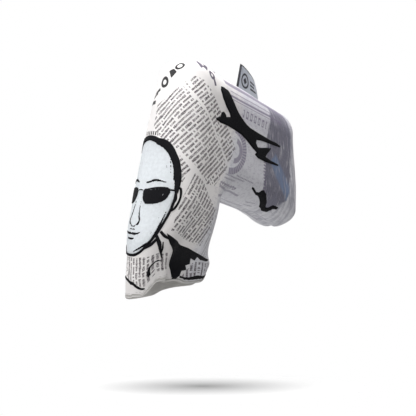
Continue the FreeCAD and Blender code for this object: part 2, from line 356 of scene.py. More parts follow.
# ---- finding places on the cover ----------------------------------------------------------------
class Finder:
    """Turns pattern coordinates into points of the cover; past the heel's fold is the back."""

    def __init__(self):
        triangles = []
        for face in PATTERN.faces:
            triangles += [face[:3]] if len(face) == 3 else [face[:3], (face[0], face[2], face[3])]
        self.triangles = np.array(triangles)
        flat = [(u, v, 0) for u, v in PATTERN.cloth]
        self.tree = BVHTree.FromPolygons(flat, [tuple(t) for t in triangles])

    def spots(self, uv, side):
        """For each pattern point: the three vertices of its triangle and their shares."""
        uv = np.array(uv, float).reshape(-1, 2)
        over = uv[:, 0] < HEEL_FOLD
        uv[over, 0] = 2 * HEEL_FOLD - uv[over, 0]
        ids = np.array([self.tree.find_nearest((u, v, 0))[2] for u, v in uv])
        corners = self.triangles[ids]
        a, b, c = (PATTERN.cloth[corners[:, i]] for i in range(3))
        ab, ac, ap = b - a, c - a, uv - a
        area = ab[:, 0] * ac[:, 1] - ab[:, 1] * ac[:, 0]
        area = np.where(np.abs(area) < 1e-9, 1e-9, area)
        second = (ap[:, 0] * ac[:, 1] - ap[:, 1] * ac[:, 0]) / area
        third = (ab[:, 0] * ap[:, 1] - ab[:, 1] * ap[:, 0]) / area
        shares = np.stack([1 - second - third, second, third], 1)
        shares = np.clip(shares, -0.5, 1.5)
        on_back = over if side == FRONT else ~over
        corners = corners + np.where(on_back, SHAPE.count, 0)[:, None]
        return corners, shares, np.where(on_back, BACK, FRONT)

    def __call__(self, uv, side=FRONT, t=0.0):
        """Points that far into the wall, as SHAPE.at_depth, and the outward normals there."""
        corners, shares, sides = self.spots(uv, side)
        t = np.broadcast_to(np.asarray(t, float), len(corners))

        def mixed(values):
            return (values[corners] * shares[..., None]).sum(1)

        point, normal = mixed(SHAPE.both), mixed(SHAPE.normal)
        normal /= np.linalg.norm(normal, axis=1)[:, None]
        wall = (SHAPE.wall[corners] * shares).sum(1)
        moved = point - normal * (np.where(t > 0, wall, 1) * t)[:, None]
        least = np.where(t > 0, 0.06, -1.0)
        moved[:, 1] = sides * np.maximum(moved[:, 1] * sides, least)
        return moved, normal


SURFACE = Finder()


# ---- making meshes ------------------------------------------------------------------------------
def place(points):
    """Millimetres from the heel to metres in the frame."""
    return np.asarray(points, float) * MM + np.array([HEEL, 0, 0])


def make(name, points, faces, material, cloth=None, normals=None):
    mesh = bpy.data.meshes.new(name)
    mesh.from_pydata([tuple(p) for p in place(points)], [], [tuple(f) for f in faces])
    if cloth is not None:
        layer = mesh.uv_layers.new(name="pattern")
        loops = np.zeros(len(mesh.loops), int)
        mesh.loops.foreach_get("vertex_index", loops)
        layer.data.foreach_set("uv", (np.asarray(cloth)[loops] / 100).astype(np.float32).ravel())
    mesh.materials.append(material)
    mesh.shade_smooth()
    if normals is not None:
        mesh.normals_split_custom_set_from_vertices([tuple(v) for v in normals])
    obj = bpy.data.objects.new(name, mesh)
    bpy.context.scene.collection.objects.link(obj)
    return obj


def border_edges(faces):
    directed = {(a, b) for f in faces for a, b in zip(f, list(f[1:]) + [f[0]])}
    return [(a, b) for a, b in directed if (b, a) not in directed]


def closed_between(faces, count):
    """Faces of a solid whose top has these faces and whose bottom repeats its points after it."""
    bottom = [[v + count for v in f[::-1]] for f in faces]
    walls = [(b, a, a + count, b + count) for a, b in sorted(border_edges(faces))]
    return [list(f) for f in faces] + bottom + walls


def cloth_of(side):
    """Pattern coordinates of one panel; the back's run on round the heel."""
    u, v = PATTERN.cloth.T
    if side == BACK:
        u = 2 * HEEL_FOLD - u
    return np.stack([u, v], 1)


def in_neck(face):
    middle = PATTERN.flat[list(face)].mean(0)
    return middle[1] < SPLIT and middle[0] < NECK + 6


def layer(name, side, faces, outer, inner, material):
    """A closed piece of one panel between two depths in the wall."""
    used = sorted({v for f in faces for v in f})
    number = {v: i for i, v in enumerate(used)}
    faces = [[number[v] for v in f] for f in faces]
    if side == BACK:
        faces = [f[::-1] for f in faces]
    ids = np.array(used) + (0 if side == FRONT else SHAPE.count)
    points = np.concatenate([SHAPE.at_depth(outer)[ids], SHAPE.at_depth(inner)[ids]])
    cloth = np.concatenate([cloth_of(side)[used]] * 2)
    normal = SHAPE.normal[ids]
    return make(name, points, closed_between(faces, len(used)), material, cloth,
                np.concatenate([normal, -normal]))


def bend(obj, side):
    """The piece belongs to the neck: its place is baked into its points."""
    fold = np.array([15.0, side * HALF, 7.5])
    lip = "front_lip" if side == FRONT else "back_lip"
    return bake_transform(obj)


def side_name(side):
    return "front" if side == FRONT else "back"


def enter(obj, nodes=(), side=None):
    """The piece rides on the cover, or has its place baked in as a piece of that side's neck, and
    hides the CAD nodes it stands for.
    """
    if side is None:
        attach(obj, "cover")
    else:
        bend(obj, side)
    if nodes:
        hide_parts(*nodes)


# ---- materials ----------------------------------------------------------------------------------
class Field:
    """A number that varies over a surface, made of shader nodes."""

    tree = None

    def __init__(self, socket):
        self.socket = socket

    def __add__(self, other):
        return calc("ADD", self, other)

    def __sub__(self, other):
        return calc("SUBTRACT", self, other)

    def __rsub__(self, other):
        return calc("SUBTRACT", other, self)

    def __mul__(self, other):
        return calc("MULTIPLY", self, other)

    def __truediv__(self, other):
        return calc("DIVIDE", self, other)

    __radd__ = __add__
    __rmul__ = __mul__


def node(kind, **inputs):
    made = Field.tree.nodes.new("ShaderNode" + kind)
    for name, value in inputs.items():
        port = made.inputs[name.replace("_", " ")]
        if isinstance(value, Field):
            Field.tree.links.new(value.socket, port)
        else:
            port.default_value = value
    return made


def calc(kind, *values, clamp=False):
    made = Field.tree.nodes.new("ShaderNodeMath")
    made.operation = kind
    made.use_clamp = clamp
    for port, value in zip(made.inputs, values):
        if isinstance(value, Field):
            Field.tree.links.new(value.socket, port)
        else:
            port.default_value = value
    return Field(made.outputs[0])


def least(*fields):
    found = fields[0]
    for field in fields[1:]:
        found = calc("MINIMUM", found, field)
    return found


def most(*fields):
    found = fields[0]
    for field in fields[1:]:
        found = calc("MAXIMUM", found, field)
    return found


def ink(distance, sharp=7.0):
    """1 inside a shape and 0 outside, from the distance inside its edge in millimetres."""
    return calc("MULTIPLY_ADD", distance, sharp, 0.5, clamp=True)


def turned(u, v, angle, centre=(0, 0)):
    c, s = math.cos(math.radians(angle)), math.sin(math.radians(angle))
    du, dv = u - centre[0], v - centre[1]
    return du * c + dv * s, dv * c - du * s


def convex(u, v, points):
    """Distance inside a convex outline, given anticlockwise."""
    sides = []
    for a, b in zip(points, points[1:] + points[:1]):
        run = math.hypot(b[0] - a[0], b[1] - a[1])
        n = ((a[1] - b[1]) / run, (b[0] - a[0]) / run)
        sides.append(u * n[0] + v * n[1] - (a[0] * n[0] + a[1] * n[1]))
    return least(*sides)


def bar(u, v, centre, size, angle=0):
    x, y = turned(u, v, angle, centre)
    return least(size[0] / 2 - calc("ABSOLUTE", x), size[1] / 2 - calc("ABSOLUTE", y))


def bars(u, v, rows):
    """One bar for each (across, up, length, width, angle)."""
    return [bar(u, v, row[:2], row[2:4], row[4]) for row in rows]


def radius(u, v, centre):
    du, dv = u - centre[0], v - centre[1]
    return calc("SQRT", du * du + dv * dv)


def ring(u, v, centre, outer, inner):
    r = radius(u, v, centre)
    return least(outer - r, r - inner)


def white(x, y):
    vector = node("CombineXYZ", X=x, Y=y).outputs[0]
    made = Field.tree.nodes.new("ShaderNodeTexWhiteNoise")
    made.noise_dimensions = "2D"
    Field.tree.links.new(vector, made.inputs["Vector"])
    return Field(made.outputs["Value"])


def clouds(u, v, scale, detail=3.0):
    vector = node("CombineXYZ", X=u, Y=v).outputs[0]
    made = node("TexNoise", Scale=scale, Detail=detail)
    Field.tree.links.new(vector, made.inputs["Vector"])
    return Field(made.outputs[0])


def marks(u, v, angle, pitch, seed, tall=0.50):
    """Rows of short upright strokes in groups, which stand for small print."""
    along, across = turned(u, v, angle)
    row = calc("FLOOR", across / pitch)
    within = across / pitch - row
    x = (along + white(row, seed) * 23) / 1.05
    cell = calc("FLOOR", x)
    inside = x - cell
    dice = white(cell, row + seed)
    group = white(calc("FLOOR", x / 5 + row * 0.37), row + seed + 7)
    gap = calc("GREATER_THAN", white(cell, row + seed + 3), 0.13)
    half = tall / 2 + calc("GREATER_THAN", dice, 0.78) * 0.09
    body = (half - calc("ABSOLUTE", within - 0.5)) * pitch
    stroke_ink = ink(body, 4) * ink((0.90 - inside) * 1.05, 5) * gap
    speck = white(calc("FLOOR", x * 2), calc("FLOOR", across / pitch * 6) + seed)
    worn = 1 - calc("GREATER_THAN", speck, 0.76) * 0.55
    return stroke_ink * (0.8 + group * 0.2) * worn


def mix(amount, low, high):
    made = Field.tree.nodes.new("ShaderNodeMix")
    made.data_type = "RGBA"
    Field.tree.links.new(amount.socket, made.inputs[0])
    for port, colour in ((6, low), (7, high)):
        if isinstance(colour, Field):
            Field.tree.links.new(colour.socket, made.inputs[port])
        else:
            made.inputs[port].default_value = (*colour, 1)
    return Field(made.outputs[2])


def start_material(name, rough, shine=0.3):
    material = bpy.data.materials.new(name)
    material.use_nodes = True
    Field.tree = material.node_tree
    shader = material.node_tree.nodes["Principled BSDF"]
    shader.inputs["Roughness"].default_value = rough
    shader.inputs["Specular IOR Level"].default_value = shine
    return material, shader


def paint(shader, colour):
    Field.tree.links.new(colour.socket, shader.inputs["Base Color"])


def coordinates(kind):
    """The three numbers of a texture coordinate."""
    made = Field.tree.nodes.new("ShaderNodeTexCoord")
    split = Field.tree.nodes.new("ShaderNodeSeparateXYZ")
    Field.tree.links.new(made.outputs[kind], split.inputs[0])
    return tuple(Field(split.outputs[i]) for i in range(3))


def pattern_uv():
    made = Field.tree.nodes.new("ShaderNodeUVMap")
    made.uv_map = "pattern"
    split = Field.tree.nodes.new("ShaderNodeSeparateXYZ")
    Field.tree.links.new(made.outputs[0], split.inputs[0])
    return Field(split.outputs[0]) * 100, Field(split.outputs[1]) * 100


def bump(shader, height, distance):
    made = node("Bump", Height=height, Distance=distance * MM)
    Field.tree.links.new(made.outputs[0], shader.inputs["Normal"])


def plain(name, colour, rough=0.6):
    material, shader = start_material(name, rough)
    shader.inputs["Base Color"].default_value = (*colour, 1)
    return material


def newsprint(u, v):
    """Blocks of small print with pale gutters between them."""
    upper = convex(u, v, [(-21, 111), (10, 89), (27, 78.5), (36, 80), (44, 92), (50.5, 109),
                          (40, 119), (24, 131), (9, 142.5), (1, 145), (-21, 126)])
    gutter = calc("ABSOLUTE", turned(u, v, 49, (21, 118))[0]) - 0.9
    upper = least(upper, gutter)
    lower = convex(u, v, [(9, 42), (41, 33.5), (44, 50), (42, 64), (24, 79), (14, 82), (8.5, 62)])
    side = convex(u, v, [(2, 92), (2.5, 75), (7, 75), (10.5, 84)])
    chin = convex(u, v, [(-30, 14), (-3, 5), (14, 7), (12, 24), (-33, 24)])
    corner = convex(u, v, [(34, 3), (59, 3), (60, 18), (41, 19.5)])
    edge = convex(u, v, [(45, 24), (56, 23), (56, 66), (45, 66)])
    ink_upper = marks(u, v, 50, 2.8, 1)
    ink_lower = marks(u, v, 71, 2.9, 2)
    ink_low = marks(u, v, 97, 3.1, 3)
    shares = most(ink(most(upper, side)) * ink_upper, ink(lower) * ink_lower,
                  ink(most(chin, corner)) * ink_low, ink(edge) * marks(u, v, 75, 3.0, 5) * 0.6)
    return shares


def headline(u, v):
    """Big plain shapes along the top of the heel, and a row of ticks over the head."""
    shapes = [ring(u, v, (-9.5, 154), 3.6, 1.9), ring(u, v, (-19.3, 142.3), 3.8, 1.7)]
    shapes += bars(u, v, [(-14.2, 149.5, 4.6, 4.6, 40), (-24.5, 135.4, 6, 2.2, 38),
                          (-26.5, 132.6, 6, 2.0, 38), (-29, 127.5, 9, 2.6, 5)])
    ticks = least(bar(u, v, (-23, 107), (15, 2.6), 3), 0.5 - calc("FRACT", u / 2.3) * 2.3 + 0.7)
    return ink(most(ticks, *shapes))


def ornaments(u, v):
    """Dark cut-out shapes between the small print and the sole."""
    shapes = bars(u, v, [(5, 154, 3, 7, 25), (10.5, 153, 4, 7, -35), (18.6, 143.6, 2.2, 4.6, 20),
                         (24, 156, 1.6, 8, -40)])
    return ink(most(ring(u, v, (16, 148), 3.4, 1.3), *shapes), 3)


def engraving(u, v):
    """Fine lines, bars, a ring and rows of dashes on the toe half: (purple-grey, faint)."""
    reach = ink(u - 33, 0.5) * ink(v - 129, 2)
    lines = most(*bars(u, v, [(66, 142, 64, 1.5, 1.5), (66, 145.3, 58, 0.7, 1.0),
                              (66, 140.0, 62, 0.5, 1.5), (70, 151.5, 76, 4.4, 0.6)]))
    digits = bar(u, v, (66, 134.5), (28, 5.2), 1.5)
    cell = calc("FRACT", u / 4.6)
    strokes = least((0.66 - cell) * 4.6, (cell - 0.12) * 4.6)
    hollow = most(calc("ABSOLUTE", cell - 0.39) * 4.6 - 0.65, calc("ABSOLUTE", v - 134.5) - 1.5)
    digits = least(digits, strokes, hollow)
    rosette = least(ring(u, v, (47, 107.5), 16.2, 11.8), u - 47.5)
    core = least(ring(u, v, (50, 108), 8.6, 5.2), u - 51)
    teeth = calc("SINE", calc("ARCTAN2", v - 107.5, u - 47) * 46) * 0.25 + 0.75
    dotted = least(ring(u, v, (140, 121), 56.5, 53.5), v - 91, 111 - v)
    dots = calc("GREATER_THAN", calc("FRACT", v / 2.1), 0.42)
    broken = most(*bars(u, v, [(57, 91.2, 24, 1.0, 3), (68, 93.3, 20, 0.9, 1),
                               (52, 88.6, 16, 1.1, 4), (92, 79, 10, 1.2, 8),
                               (94, 75.4, 9, 1.2, 6), (80, 71, 26, 2.0, 4)]))
    scribble = least(bar(u, v, (54, 84), (26, 3.6), 3),
                     0.6 - calc("ABSOLUTE", v - 84 - calc("SINE", u * 2.1) * 1.1
                                 - calc("SINE", u * 0.73) * 0.6))
    border = most(*bars(u, v, [(58, 81, 34, 1.6, -2), (54, 84.5, 26, 1.0, 2),
                               (48, 76.5, 12, 1.6, 12), (100, 69.5, 60, 1.2, 0)]))
    dash_cells = calc("GREATER_THAN", calc("FRACT", u / 1.7), 0.3)
    strong = most(ink(lines, 3) * 0.85, ink(digits) * 0.85, ink(rosette, 4) * teeth * 0.9,
                  ink(core, 4) * 0.7, ink(dotted, 4) * dots * 0.8, ink(border, 3) * 0.6,
                  ink(broken, 5) * dash_cells * 0.7, ink(scribble, 4) * 0.85)
    return strong, reach * 0.2 + ink(v - 90, 0.3) * ink(113 - v, 0.2) * ink(u - 50, 0.2) * 0.05


def vignette(u, v):
    """The dark picture field at the toe, as plain engraved hatching with pale and blue streaks."""
    field = convex(u, v, [(91, 90), (104, 79), (115, 80), (122, 96), (114, 134), (108, 153),
                          (84, 153), (83, 128)])
    ragged = (clouds(u, v, 0.16) - 0.5) * 7
    fill = ink(field + ragged, 0.6)
    along, across = turned(u, v, 118)
    streak = clouds(along * 0.18, across, 0.5, 4.0)
    hatch = calc("SINE", (across + clouds(u, v, 0.3) * 4) * 4.2) * 0.09
    pale = ink(streak - 0.60, 9)
    blue = ink(bar(u, v, (113, 103), (46, 9), -35) + ragged * 0.4, 0.5)
    return fill * (0.9 + hatch) * (1 - pale * 0.55), blue


BACK_PRINT = -37.5        # pattern coordinate where the print starts over on the back


def printed_leather():
    """White leather with each layer of print over the one before."""
    material, shader = start_material("printed leather", 0.42)
    front_u, v = pattern_uv()
    mirror = calc("LESS_THAN", front_u, BACK_PRINT)
    u = front_u + mirror * ((2 * HEEL_FOLD) - front_u - front_u)
    warm = ink(46 - u + (v - 100) * 0.1, 0.12)
    base = mix(warm, (0.64, 0.64, 0.675), (0.76, 0.735, 0.72))
    fine = calc("SINE", (v + clouds(u, v, 0.12) * 9) * 5.2) * 0.5 + 0.5
    worn = ink(clouds(u, v, 0.35) - 0.53, 9)
    strong, reach = engraving(u, v)
    field, blue = vignette(u, v)
    toe = ink(u - 30, 0.4)
    along, across = turned(u, v, 118)
    streaks = clouds(along * 0.12, across * 0.8, 0.45, 4.0)
    layers = [
        (ink(u - 36, 0.3) * fine * worn * 0.5, (0.30, 0.28, 0.35)),
        (clouds(u, v, 0.07) * 0.35, (0.60, 0.59, 0.62)),
        (toe * reach, (0.30, 0.27, 0.35)),
        (field, (0.135, 0.13, 0.175)),
        (blue * field * 0.55, (0.17, 0.27, 0.46)),
        (ink(u - 104, 0.2) * ink(streaks - 0.52, 5) * 0.5, (0.18, 0.18, 0.235)),
        (strong * toe, (0.19, 0.165, 0.235)),
        (ornaments(u, v), (0.085, 0.07, 0.105)),
        (newsprint(u, v), (0.050, 0.036, 0.046)),
        (headline(front_u, v) * (1 - mirror), (0.018, 0.017, 0.019)),
    ]
    for amount, colour in layers:
        base = mix(amount, base, colour)
    paint(shader, base)
    weave = clouds(u, v, 2.2, 2.0) * 0.6 + clouds(u, v, 0.35, 2.0) * 1.2
    bump(shader, weave, 0.22)
    return material


def thread(name, colour, angle, rough=0.42):
    """Satin stitches laid side by side at that angle."""
    material, shader = start_material(name, rough, 0.08)
    u, v = pattern_uv()
    along, across = turned(u, v, angle)
    wobble = clouds(u, v, 0.7) * 0.5
    ridge = calc("ABSOLUTE", calc("SINE", (across + wobble) * 6.5))
    ends = calc("ABSOLUTE", calc("SINE", along * 0.9 + calc("FLOOR", across / 0.48) * 1.7))
    height = ridge * 0.8 + calc("POWER", ends, 0.3) * 0.4
    # tone: a random tone from the clouds, plus a painted sheen that is lighter along each stitch's
    # ridge
    tone = clouds(u, v, 0.5) * 0.5 + ridge * 0.25
    base = mix(tone, tuple(c * 0.7 for c in colour), tuple(min(1, c * 1.25) for c in colour))
    paint(shader, base)
    bump(shader, height, 0.16)
    return material


def woven(name, colour, size, rough=0.85, depth=0.2):
    """Cloth with a fine weave, from the position on the piece."""
    material, shader = start_material(name, rough)
    x, y, z = (at * 1000 for at in coordinates("Object"))
    across = calc("SINE", (x + y) * (6.28 / size))
    upright = calc("SINE", (z + y * 0.3) * (6.28 / size))
    tone = calc("MULTIPLY_ADD", across * upright, 0.25, 0.5) + (clouds(x, z, 0.12) - 0.5) * 0.7
    base = mix(tone, tuple(c * 0.82 for c in colour), tuple(min(1, c * 1.12) for c in colour))
    paint(shader, base)
    bump(shader, across * upright, depth)
    return material


LEATHER = printed_leather()
PADDING = plain("foam", (0.62, 0.60, 0.54), 0.95)
FLEECE = woven("lining", (0.40, 0.38, 0.345), 0.9)
HEM = woven("hem", (0.60, 0.585, 0.56), 0.7)
TAPE = woven("seam tape", (0.30, 0.30, 0.31), 1.2)
DARK = thread("dark thread", (0.006, 0.006, 0.008), 62, 0.55)
PALE = thread("light thread", (0.70, 0.735, 0.765), 4, 0.5)
STITCH = plain("thread", (0.55, 0.54, 0.53), 0.6)
METAL = plain("magnet", (0.6, 0.6, 0.62), 0.3)
METAL.node_tree.nodes["Principled BSDF"].inputs["Metallic"].default_value = 1.0

# ---- skins, padding and lining ------------------------------------------------------------------
CAD = {
    (FRONT, False): ("outer_shell", "front_foam", "front_lining"),
    (BACK, False): ("outer_shell", "back_foam", "back_lining"),
    (FRONT, True): ("front_lip_shell", "front_lip_foam", "front_lip_lining"),
    (BACK, True): ("back_lip_shell", "back_lip_foam", "back_lip_lining"),
}


def walls():
    for (side, neck), nodes in CAD.items():
        label = side_name(side) + ("_neck" if neck else "_head")
        faces = [f for f in PATTERN.faces if in_neck(f) == neck]
        skin = layer("skin_" + label, side, faces, 0, SKIN, LEATHER)
        foam = layer("padding_" + label, side, faces, SKIN + 0.04, WALL - LINING - 0.04, PADDING)
        lining = layer("lining_" + label, side, faces, SKIN + FOAM, WALL, FLEECE)
        for obj, node, slot in zip((skin, foam, lining), nodes,
                                   ("printed_leather", "foam", "lining")):
            enter(obj, [node], side if neck else None)


# ---- hem round the mouth ------------------------------------------------------------------------
def hem(side):
    """The turned edge: a band that wraps the cut edge and reaches up inside the lining."""
    rim = PATTERN.cloth[PATTERN.rim]
    inner = WALL + 0.5
    section = [(-0.02, 1.7), (-0.10, 0.9), (0.2, -0.15), (1.6, -0.6), (WALL - 1.6, -0.6),
               (inner, 0.0), (inner, 3.0), (inner, 8.6), (inner - 0.1, 10.2), (WALL - 0.1, 10.4),
               (WALL - 0.5, 9.0), (WALL - 0.5, 1.2), (0.5, 1.2)]
    rows = []
    for t, height in section:
        uv = np.stack([rim[:, 0], np.full(len(rim), max(height, 0.0))], 1)
        points, _ = SURFACE(uv, side, t)
        if height < 0:
            above, _ = SURFACE(uv + (0, 1.0), side, t)
            down = points - above
            points = points - down / np.linalg.norm(down, axis=1)[:, None] * height
        rows.append(points)
    return band("hem_" + side_name(side), np.array(rows), HEM, side == BACK)


def band(name, rows, material, flip=False, cloth=None):
    """A closed tube: rows[k] is the run of points at place k of the cross-section."""
    sections, count = rows.shape[:2]
    faces = []
    for k in range(sections):
        following = (k + 1) % sections
        for i in range(count - 1):
            faces.append((k * count + i, k * count + i + 1,
                          following * count + i + 1, following * count + i))
    faces.append([k * count for k in range(sections)])
    faces.append([k * count + count - 1 for k in range(sections)][::-1])
    if flip:
        faces = [f[::-1] for f in faces]
    return make(name, rows.reshape(-1, 3), faces, material, cloth)


def slit_facing(side):
    """A strip that closes the cut edges of the wall along the slit."""
    stations = [i for i in range(PATTERN.n) if SHAPE.slit_station[i]]
    uv = PATTERN.cloth[stations]
    rows = []
    for t, y in ((0.1, 0.36), (WALL + 0.2, 0.36), (WALL + 0.2, 0.06), (0.1, 0.06)):
        points, _ = SURFACE(uv, side, t)
        points[:, 1] = side * y
        rows.append(points)
    return band("slit_facing_" + side_name(side), np.array(rows), FLEECE, side == BACK)


def hems():
    for side in (FRONT, BACK):
        name = side_name(side)
        enter(hem(side), [name + "_lip_hem", "heel_hem"], side)
        enter(slit_facing(side), side=side)


# ---- raised embroidery --------------------------------------------------------------------------
def even_odd(points, loops):
    hit = np.zeros(len(points), bool)
    for loop in loops:
        hit ^= inside(points, loop)
    return hit


def resample(loop, step):
    """The closed outline with points about that far apart, corners kept."""
    points = []
    for a, b in zip(loop, list(loop[1:]) + [loop[0]]):
        a, b = np.array(a, float), np.array(b, float)
        pieces = max(1, int(round(np.linalg.norm(b - a) / step)))
        points += [a + (b - a) * k / pieces for k in range(pieces)]
    return np.array(points)


def between(a, b, c, d, t):
    """The point at share t from b to c on the Catmull-Rom line through all four."""
    return 0.5 * (2 * b + (c - a) * t + (2 * a - 5 * b + 4 * c - d) * t ** 2
                  + (3 * b - a - 3 * c + d) * t ** 3)


def curve(points, per=8):
    """A closed smooth outline through a few points."""
    p = np.array(points, float)
    n = len(p)
    out = []
    for i in range(n):
        a, b, c, d = p[i - 1], p[i], p[(i + 1) % n], p[(i + 2) % n]
        out += [between(a, b, c, d, k / per) for k in range(per)]
    return out


PATCH_RIM, PATCH_SUNK = 0.06, 0.12           # a patch's edge above the skin, its back below


def patch(name, loops, material, lift=0.5, step=0.9, side=FRONT, roll=0.45):
    """Embroidery that stands off the skin inside these outlines, holes by even-odd."""
    loops = [resample(loop, step) for loop in loops]
    border = np.concatenate(loops)
    edges = []
    first = 0
    for loop in loops:
        n = len(loop)
        edges += [(first + i, first + (i + 1) % n) for i in range(n)]
        first += n
    low, high = border.min(0) - 1, border.max(0) + 1
    grid = grid_inside(np.array([low, (high[0], low[1]), high, (low[0], high[1])]), step, 0)
    grid = grid[even_odd(grid, loops)]
    grid = grid[nearest(grid, border) > 0.45 * step]
    every = np.concatenate([border, grid])
    found = delaunay_2d_cdt([Vector(p) for p in every], edges, [], 0, 1e-7)
    where = np.array([list(p) for p in found[0]])
    faces = [list(f) for f in found[2]]
    middles = np.array([where[f].mean(0) for f in faces])
    faces = [f for f, keep in zip(faces, even_odd(middles, loops)) if keep]
    turned = []
    for f in faces:
        a, b, c = where[f]
        area = (b[0] - a[0]) * (c[1] - a[1]) - (b[1] - a[1]) * (c[0] - a[0])
        turned.append(f if area > 0 else f[::-1])
    near = nearest(where, border)
    share = np.sqrt(np.clip(1 - (1 - np.minimum(near, roll) / roll) ** 2, 0, 1))
    skin, normal = SURFACE(where, side, 0)
    top = skin + normal * (PATCH_RIM + (lift - PATCH_RIM) * share)[:, None]
    bottom = skin - normal * PATCH_SUNK
    used = sorted({v for f in turned for v in f})
    number = {v: i for i, v in enumerate(used)}
    turned = [[number[v] for v in f] for f in turned]
    if side == BACK:
        turned = [f[::-1] for f in turned]
    points = np.concatenate([top[used], bottom[used]])
    return make(name, points, closed_between(turned, len(used)), material,
                np.concatenate([where[used]] * 2))


def stroke(points, widths):
    """The outline of a brush line through these points, with that width at each."""
    p = np.array(points, float)
    fine = []
    width = []
    n = len(p)
    for i in range(n - 1):
        a = p[max(i - 1, 0)]
        b, c = p[i], p[i + 1]
        d = p[min(i + 2, n - 1)]
        for k in range(6):
            t = k / 6
            fine.append(between(a, b, c, d, t))
            width.append(widths[i] + (widths[i + 1] - widths[i]) * t)
    fine.append(p[-1])
    width.append(widths[-1])
    fine, width = np.array(fine), np.array(width)
    along = np.gradient(fine, axis=0)
    along /= np.linalg.norm(along, axis=1)[:, None]
    off = np.stack([-along[:, 1], along[:, 0]], 1) * width[:, None] / 2
    return list(fine + off) + list((fine - off)[::-1])


AIRCRAFT = [(25.2, 140.6), (25.6, 143.4), (29, 144.2), (34.5, 143.2), (40, 138.4), (46, 133.6),
            (52, 130.6), (57, 128.6), (62, 127.4), (72, 127), (86, 126.8), (94, 127.4),
            (100.6, 126.9), (100, 125.7), (92, 124.8), (84, 124), (76, 123), (71.6, 121.9),
            (71.6, 119.6), (74.5, 117.8), (79, 118.8), (85, 120.8), (90, 121.9), (88.4, 119),
            (86, 116.6), (85.6, 114.4), (92, 113.8), (102.2, 114), (102.4, 113), (94, 111.8),
            (86, 111), (77, 110.8), (72.4, 112), (73.8, 114), (68, 115.6), (61, 118.2),
            (54, 120.2), (46, 120.8), (38, 121), (31, 120.4), (26.4, 120.9), (25, 121.8),
            (29.6, 124.4), (29.8, 127.2), (32, 128.4), (34.4, 127.4), (35.6, 126), (39.6, 127.4),
            (38, 129.4), (33, 132.6), (28.4, 136.4)]
JUMPER = [(79.4, 91.2), (82, 90.8), (86.6, 88.9), (89.8, 89.4), (90.6, 91.4), (93, 92.2),
          (95.2, 91.2), (98, 90.2), (101, 87.4), (105, 84.6), (107.6, 81.8), (109.8, 80.2),
          (111.6, 81), (113, 84.6), (116, 85), (119.4, 85.2), (119.6, 83), (116.4, 82),
          (115.2, 77), (111.2, 75.8), (107.4, 77.6), (104, 78.4), (100.4, 81.6), (96, 84.4),
          (91.6, 86.6), (88, 86.8), (84, 88.2), (79.8, 89.8)]
JACKET = [(7.2, 40), (13.6, 36.8), (21, 34.2), (31, 31.4), (41, 27.6), (51, 23.6), (60.5, 20.6),
          (53, 20.0), (46, 21.2), (42.4, 24), (41.2, 20.4), (37.6, 22.2), (38.4, 17),
          (35.6, 14.6), (37.2, 11), (33.8, 8.4), (33, 3.8), (30.8, 0.9), (28.4, 1.2), (26.4, 9),
          (22.6, 18), (17, 26), (11.6, 32.4)]

# A plain face of standard proportions: the eyes halfway up the head, the nose's base halfway from
# eyes to chin, and the mouth a third of the way on from there.
HEAD_U, CHIN, CROWN, HALF_HEAD = -21.0, 26.0, 104.0, 25.0
EYES = (CHIN + CROWN) / 2
NOSE = (EYES + CHIN) / 2
MOUTH = NOSE - (NOSE - CHIN) / 3


def head_outline(grow):
    """Cranium, cheeks, jaw and chin, larger than the face by that many millimetres."""
    shares = [(0, 1.0), (0.34, 0.985), (0.64, 0.92), (0.86, 0.80), (0.97, 0.66), (1.0, 0.5),
              (0.98, 0.38), (0.93, 0.27), (0.85, 0.17), (0.66, 0.075), (0.40, 0.014), (0, 0)]
    tall = CROWN - CHIN + 2 * grow
    right = [(HEAD_U + (HALF_HEAD + grow) * x, CHIN - grow + tall * y) for x, y in shares]
    return curve(right + mirrored(right[1:-1])[::-1], 5)


def mirrored(points):
    return [(2 * HEAD_U - u, v) for u, v in points]


def lines_from(table):
    """Brush lines from rows of (points, widths), across from the middle of the head."""
    return [stroke([(HEAD_U + x, y) for x, y in points], widths) for points, widths in table]


def face_lines():
    """Dark lines of the face, one side of it; the other is the same mirrored."""
    e, n, m = EYES, NOSE, MOUTH
    return lines_from([
        ([(3.0, e - 4), (3.8, n + 8), (5.6, n + 3.2), (5.0, n + 0.4), (3.0, n - 0.2)],
         [0.9, 1.3, 1.9, 2.2, 1.2]),
        ([(3.2, n - 0.6), (1.6, n - 1.4), (-0.1, n - 1.8)], [1.6, 1.4, 1.0]),
        ([(-0.1, m + 0.3), (3.6, m + 0.2), (8.2, m + 0.9), (9.6, m + 1.5)], [2.0, 2.3, 1.5, 0.6]),
        ([(-0.1, m + 2.6), (2.2, m + 3.2), (6.4, m + 1.8)], [1.0, 1.2, 0.5]),
        ([(-0.1, m - 3.4), (3.2, m - 3.1), (5.6, m - 2.1)], [1.9, 1.6, 0.6]),
        ([(-0.1, m - 6.6), (2.6, m - 6.3)], [0.9, 0.4]),
        ([(4.0, e + 8.6), (10, e + 10.4), (18.6, e + 8.6)], [1.2, 2.2, 0.9]),
        ([(24.4, e + 5), (27.8, e + 5.4), (28.8, e - 1), (27.2, e - 8), (24.2, e - 11)],
         [1.2, 1.6, 1.4, 1.6, 1.2]),
        ([(26.0, e + 2), (26.6, e - 2), (25.6, e - 6)], [0.5, 1.0, 0.5]),
        ([(23.0, e - 10), (21.6, n - 2), (19.0, m - 4), (13.4, CHIN + 4.8), (6, CHIN + 1.8)],
         [1.0, 1.7, 1.3, 2.0, 1.1]),
        ([(19.8, e - 14), (19.2, n - 1), (16.6, m - 3)], [0.4, 0.8, 0.4]),
        ([(19.8, e + 27), (21.4, e + 20), (22.6, e + 10)], [0.6, 2.2, 1.2]),
        ([(17.2, e + 27), (18.6, e + 21), (19.8, e + 14)], [0.4, 1.1, 0.5]),
        ([(15.0, e + 25), (16.0, e + 21), (17.0, e + 16)], [0.3, 0.7, 0.3]),
    ])


